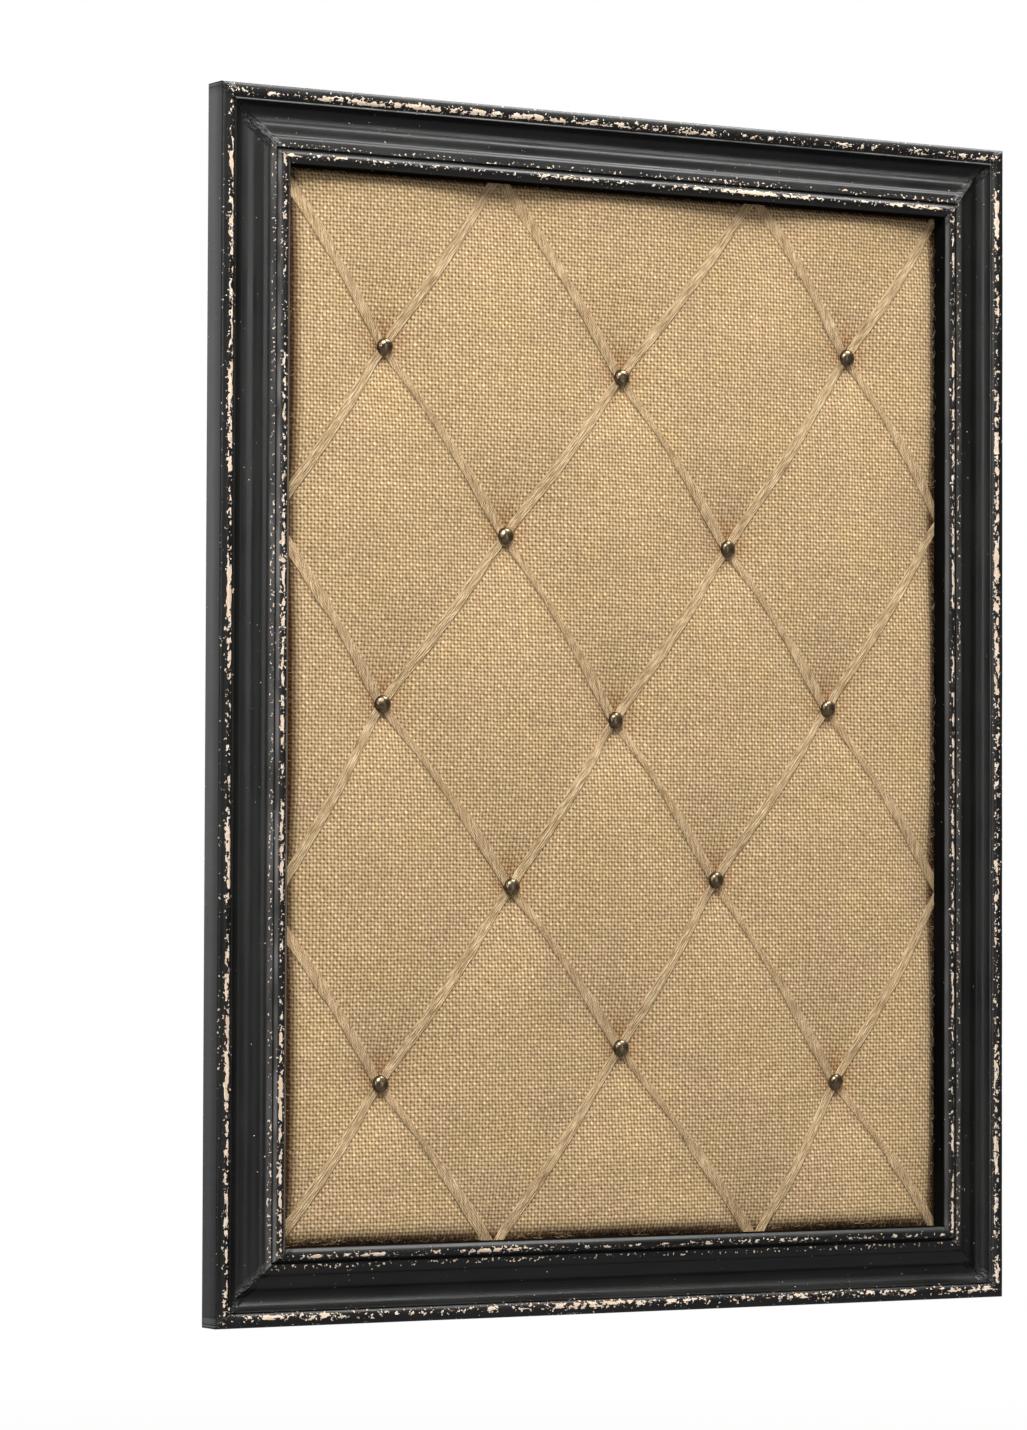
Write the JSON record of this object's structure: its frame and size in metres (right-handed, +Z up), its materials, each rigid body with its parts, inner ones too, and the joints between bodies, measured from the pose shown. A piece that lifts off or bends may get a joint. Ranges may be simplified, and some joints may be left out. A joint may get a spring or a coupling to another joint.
{
  "type": "bulletin board",
  "caption": "Upright framed pin board: padded burlap panel crossed by jute tapes held with brass tacks in a black moulded wooden frame, with hanging rings on the back.",
  "frame": {"origin": "on the wall plane, at the middle of the top rail's flat back", "axes": "+Z up, +Y out of the back towards the wall, +X to the right as seen from the front; the front faces -Y"},
  "size_m": [0.5258, 0.0254, 0.6807],
  "materials": {
    "black_painted_wood": "satin black paint, rubbed through to pale wood on the beads",
    "burlap": "coarse plain-woven jute burlap, matt",
    "batting": "white polyester batting",
    "hardboard": "plain brown hardboard",
    "jute": "flat tape of parallel jute strands, slight sheen",
    "antique_brass": "antiqued brass, dark with bright rims",
    "zinc_steel": "zinc-plated steel"
  },
  "bodies": {
    "board": {"frame_rail_bottom": "black_painted_wood", "frame_rail_top": "black_painted_wood", "frame_stile_left": "black_painted_wood", "frame_stile_right": "black_painted_wood", "corner_nail_bottom_left_1": "zinc_steel", "corner_nail_bottom_left_2": "zinc_steel", "corner_nail_bottom_right_1": "zinc_steel", "corner_nail_bottom_right_2": "zinc_steel", "corner_nail_top_left_1": "zinc_steel", "corner_nail_top_left_2": "zinc_steel", "corner_nail_top_right_1": "zinc_steel", "corner_nail_top_right_2": "zinc_steel", "framer_point_left_1": "zinc_steel", "framer_point_left_2": "zinc_steel", "framer_point_left_3": "zinc_steel", "framer_point_right_1": "zinc_steel", "framer_point_right_2": "zinc_steel", "framer_point_right_3": "zinc_steel", "framer_point_bottom_1": "zinc_steel", "framer_point_bottom_2": "zinc_steel", "framer_point_top_1": "zinc_steel", "framer_point_top_2": "zinc_steel", "hanger_strap_left": "zinc_steel", "hanger_screw_left": "zinc_steel", "hanger_strap_right": "zinc_steel", "hanger_screw_right": "zinc_steel", "tack_1": "antique_brass", "tack_2": "antique_brass", "tack_3": "antique_brass", "tack_4": "antique_brass", "tack_5": "antique_brass", "tack_6": "antique_brass", "tack_7": "antique_brass", "tack_8": "antique_brass", "tack_9": "antique_brass", "tack_10": "antique_brass", "tack_11": "antique_brass", "tack_12": "antique_brass", "tack_13": "antique_brass", "burlap_cover": "burlap", "batting_pad": "batting", "backing_board": "hardboard", "jute_tape_right_1": "jute", "jute_tape_right_2": "jute", "jute_tape_right_3": "jute", "jute_tape_right_4": "jute", "jute_tape_right_5": "jute", "jute_tape_left_1": "jute", "jute_tape_left_2": "jute", "jute_tape_left_3": "jute", "jute_tape_left_4": "jute", "jute_tape_left_5": "jute"},
    "ring_left": {"hanger_ring_left": "zinc_steel"},
    "ring_right": {"hanger_ring_right": "zinc_steel"}
  },
  "joints": [
    {"name": "ring_hinge_left", "type": "hinge", "parent": "board", "child": "ring_left", "pos_m": [-0.2412, -0.0034, -0.1283], "axis": [1, 0, 0], "range_deg": [0, 180]},
    {"name": "ring_hinge_right", "type": "hinge", "parent": "board", "child": "ring_right", "pos_m": [0.2412, -0.0034, -0.1283], "axis": [1, 0, 0], "range_deg": [0, 180]}
  ]
}
